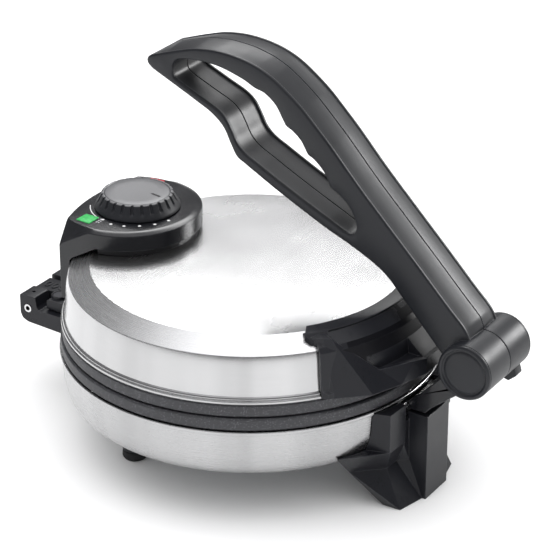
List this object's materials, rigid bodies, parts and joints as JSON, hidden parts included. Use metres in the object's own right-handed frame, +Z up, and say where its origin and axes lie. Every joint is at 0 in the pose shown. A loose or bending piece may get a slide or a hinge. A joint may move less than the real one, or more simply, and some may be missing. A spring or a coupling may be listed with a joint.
{
  "type": "electric roti maker",
  "caption": "Clamshell griddle with two round heated plates, a hinged steel lid with a heat dial, and a long press handle linked to the front leg.",
  "frame": {"origin": "centre of the bounding box in plan, on the surface the appliance stands on", "axes": "+Z up, -Y towards the front leg and the handle's pivot, +Y towards the lid hinge, +X to the right seen from the front"},
  "size_m": [0.2372, 0.3415, 0.2593],
  "materials": {
    "polished_steel": "polished",
    "brushed_steel": "finely brushed, bright",
    "cover_steel": "dull sheet",
    "nonstick_coating": "speckled matt coating on cast aluminium",
    "element_sheath": "heat-darkened sheath",
    "shield_aluminium": "mill finish",
    "ceramic": "glazed ceramic",
    "satin_black_plastic": "satin, lightly grained",
    "matt_black_plastic": "matt, lightly grained",
    "pad_rubber": "matt",
    "green_lens": "translucent",
    "red_lens": "translucent",
    "lamp_glass": "clear",
    "brass_bush": "turned",
    "black_steel": "black oxide finish",
    "zinc_plated_steel": "zinc plated"
  },
  "bodies": {
    "base": {"base_shell": "polished_steel", "base_cover": "cover_steel", "lower_plate": "nonstick_coating", "lower_heating_element": "element_sheath", "lower_element_clamp": "zinc_plated_steel", "lower_heat_shield": "shield_aluminium", "terminal_block": "ceramic", "cable_gland": "matt_black_plastic", "front_leg": "satin_black_plastic", "link_pin": "zinc_plated_steel", "leg_screw_left": "zinc_plated_steel", "leg_screw_right": "zinc_plated_steel", "rear_foot_left": "matt_black_plastic", "rear_foot_right": "matt_black_plastic", "foot_pad_left": "pad_rubber", "foot_pad_right": "pad_rubber", "foot_screw_left": "zinc_plated_steel", "foot_screw_right": "zinc_plated_steel", "hinge_bracket": "satin_black_plastic", "hinge_pin": "polished_steel"},
    "lid": {"lid_shell": "brushed_steel", "upper_plate": "nonstick_coating", "upper_heating_element": "element_sheath", "upper_element_clamp": "zinc_plated_steel", "upper_heat_shield": "shield_aluminium", "thermostat_body": "ceramic", "control_housing": "satin_black_plastic", "housing_neck": "matt_black_plastic", "green_lens": "green_lens", "green_lamp": "lamp_glass", "red_lens": "red_lens", "red_lamp": "lamp_glass", "housing_screw_left": "zinc_plated_steel", "housing_screw_right": "zinc_plated_steel", "bracket_screw_left": "zinc_plated_steel", "bracket_screw_right": "zinc_plated_steel", "press_bracket": "matt_black_plastic", "hinge_screw_left": "black_steel", "hinge_screw_right": "black_steel", "hinge_arm": "matt_black_plastic"},
    "dial": {"dial_knob": "matt_black_plastic", "dial_shaft": "zinc_plated_steel"},
    "link": {"link_arm": "satin_black_plastic", "link_bush": "brass_bush"},
    "handle": {"handle_shell_left": "matt_black_plastic", "handle_shell_right": "matt_black_plastic", "barrel_cap_left": "matt_black_plastic", "barrel_cap_right": "matt_black_plastic", "handle_axle": "zinc_plated_steel", "handle_screw_1": "zinc_plated_steel", "handle_screw_2": "zinc_plated_steel", "handle_screw_3": "zinc_plated_steel"}
  },
  "joints": [
    {"name": "lid_hinge", "type": "hinge", "parent": "base", "child": "lid", "pos_m": [0, 0.16445, 0.055], "axis": [-1, 0, 0], "range_deg": [0, 91]},
    {"name": "dial_turn", "type": "hinge", "parent": "lid", "child": "dial", "pos_m": [0, 0.09225, 0.136], "axis": [0, 0, 1], "range_deg": [-135, 135]},
    {"name": "link_pivot", "type": "hinge", "parent": "base", "child": "link", "pos_m": [0, -0.10975, 0.061], "axis": [1, 0, 0], "range_deg": [0, 6]},
    {"name": "handle_pivot", "type": "hinge", "parent": "link", "child": "handle", "pos_m": [0, -0.15375, 0.1005], "axis": [1, 0, 0], "range_deg": [0, 110]}
  ],
  "couplings": [
    {"joint": "lid_hinge", "follows": "handle_pivot", "ratio": 0.8}
  ]
}
